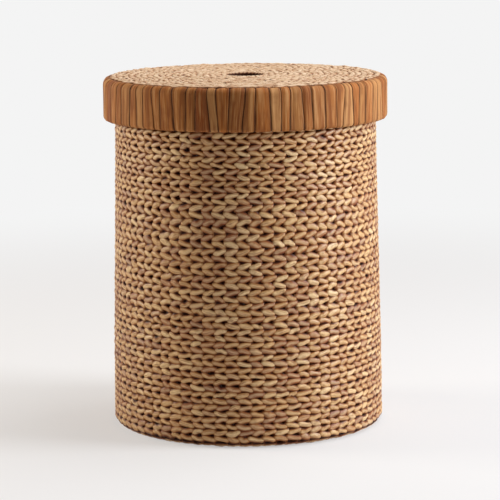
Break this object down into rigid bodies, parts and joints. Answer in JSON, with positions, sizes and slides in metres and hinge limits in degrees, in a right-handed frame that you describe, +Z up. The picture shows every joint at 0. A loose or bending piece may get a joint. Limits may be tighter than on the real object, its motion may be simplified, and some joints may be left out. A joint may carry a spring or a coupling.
{
  "type": "laundry hamper",
  "caption": "Round woven laundry hamper: strands twined over a wire cage, flared to a rounded foot, with a lift-off cap lid wrapped in leaf strips and a finger hole.",
  "frame": {"origin": "centre of the hamper's base, at the level of the floor it stands on", "axes": "+Z up along the axis of the round basket and lid; +X and +Y are alike, because the hamper is round"},
  "size_m": [0.4526, 0.4526, 0.56],
  "materials": {
    "wall_strands": "matte",
    "base_strands": "matte",
    "border_strands": "matte",
    "lid_strands": "matte",
    "band_strips": "matte",
    "hole_strips": "matte",
    "frame_wire": "satin"
  },
  "bodies": {
    "basket": {"wire_cage": "frame_wire", "rim_hoop": "frame_wire", "wall_weave": "wall_strands", "rim_binding": "border_strands", "base_wire_wheel": "frame_wire", "base_weave": "base_strands"},
    "lid": {"lid_top_hoop": "frame_wire", "lid_skirt_frame": "frame_wire", "lid_wire_wheel": "frame_wire", "lid_top_weave": "lid_strands", "lid_band_wrap": "band_strips", "finger_hole_binding": "hole_strips"}
  },
  "joints": [
    {"name": "lid_lift", "type": "slide", "parent": "basket", "child": "lid", "axis": [0, 0, 1], "range_m": [0, 0.3]}
  ]
}
